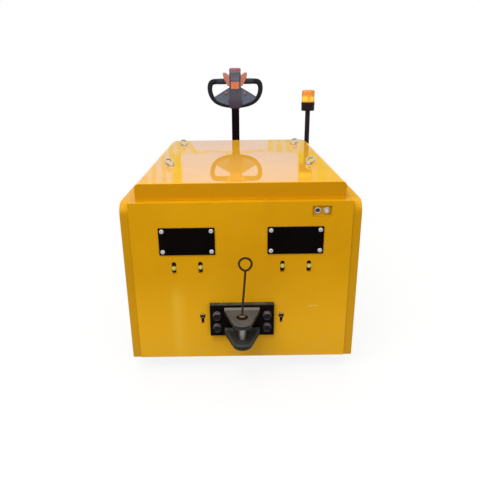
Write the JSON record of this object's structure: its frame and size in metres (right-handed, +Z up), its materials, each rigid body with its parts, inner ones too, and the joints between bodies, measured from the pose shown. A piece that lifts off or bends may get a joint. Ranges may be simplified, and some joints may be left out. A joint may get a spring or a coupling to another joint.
{
  "type": "pedestrian tow tractor",
  "caption": "Tiller-steered electric tow tractor: a heavy plate body on fixed load wheels and a steered drive wheel, with a pin hitch, lift-off hood and warning beacon.",
  "frame": {"origin": "on the floor under the middle of the whole machine", "axes": "+X to the right as seen from the hitch end, +Y from the hitch end towards the tiller, +Z up"},
  "size_m": [1.08, 2.102, 1.427],
  "materials": {
    "body_paint": "semi-gloss yellow paint",
    "frame_black": "satin black paint",
    "battery_case": "matt dark grey",
    "tray_plastic": "matt black",
    "switch_dark": "matt black",
    "switch_white": "gloss white",
    "bolt_steel": "zinc plated",
    "cast_grey": "bare casting",
    "pin_steel": "worn bright steel",
    "machined_steel": "machined",
    "motor_black": "satin black",
    "tyre_rubber": "solid rubber",
    "drive_rubber": "solid rubber",
    "head_grey": "matt dark grey",
    "grip_black": "smooth black",
    "control_orange": "matt orange",
    "belly_red": "gloss dark red",
    "lens_amber": "clear amber plastic"
  },
  "bodies": {
    "chassis": {"side_panel_left": "body_paint", "side_panel_right": "body_paint", "hitch_face_plate": "body_paint", "deck_plate": "body_paint", "front_panel": "body_paint", "bulkhead": "frame_black", "battery_floor": "frame_black", "ladder_frame": "frame_black", "battery": "battery_case", "cover_plate_left": "frame_black", "cover_plate_right": "frame_black", "clamp_bars": "frame_black", "switch_tray": "tray_plastic", "key_switch": "switch_dark", "push_button": "switch_white", "hitch_plate": "frame_black", "hitch_bolts": "bolt_steel", "hitch_jaw": "cast_grey", "load_axle": "bolt_steel", "drive_deck": "frame_black", "nose_skirt": "frame_black", "slewing_ring": "machined_steel", "beacon_post": "frame_black", "beacon_base": "tray_plastic", "beacon_lens": "lens_amber"},
    "hood": {"hood": "body_paint", "lifting_eyes": "bolt_steel"},
    "drawbar_pin": {"tow_pin": "pin_steel"},
    "wheel_left": {"load_hub_left": "cast_grey", "load_tyre_left": "tyre_rubber"},
    "wheel_right": {"load_hub_right": "cast_grey", "load_tyre_right": "tyre_rubber"},
    "steering": {"turntable": "machined_steel", "gearbox_leg": "cast_grey", "drive_motor": "motor_black", "steering_arm": "frame_black", "pivot_pin": "bolt_steel"},
    "drive_wheel": {"drive_hub": "cast_grey", "drive_tyre": "drive_rubber"},
    "tiller": {"tiller_tube": "frame_black", "tiller_head": "head_grey", "belly_button": "belly_red", "handle_loops": "grip_black", "handle_grips": "grip_black", "thumb_levers": "control_orange", "display_panel": "head_grey", "horn_button": "control_orange", "wing_buttons": "control_orange"}
  },
  "joints": [
    {"name": "hood_lift", "type": "slide", "parent": "chassis", "child": "hood", "axis": [0, 0, 1], "range_m": [0, 0.35]},
    {"name": "pin_lift", "type": "slide", "parent": "chassis", "child": "drawbar_pin", "axis": [0, 0, 1], "range_m": [0, 0.17]},
    {"name": "left_wheel_spin", "type": "hinge", "parent": "chassis", "child": "wheel_left", "pos_m": [-0.415, -0.431, 0.19], "axis": [1, 0, 0], "continuous": true},
    {"name": "right_wheel_spin", "type": "hinge", "parent": "chassis", "child": "wheel_right", "pos_m": [0.415, -0.431, 0.19], "axis": [1, 0, 0], "continuous": true},
    {"name": "steer", "type": "hinge", "parent": "chassis", "child": "steering", "pos_m": [-0.022, 0.629, 0.4], "axis": [0, 0, 1], "range_deg": [-60, 60]},
    {"name": "drive_spin", "type": "hinge", "parent": "steering", "child": "drive_wheel", "pos_m": [-0.022, 0.629, 0.145], "axis": [1, 0, 0], "continuous": true},
    {"name": "tiller_tilt", "type": "hinge", "parent": "steering", "child": "tiller", "pos_m": [-0.022, 1.009, 0.505], "axis": [-1, 0, 0], "range_deg": [0, 80], "stiffness_Nm_per_rad": 90}
  ]
}
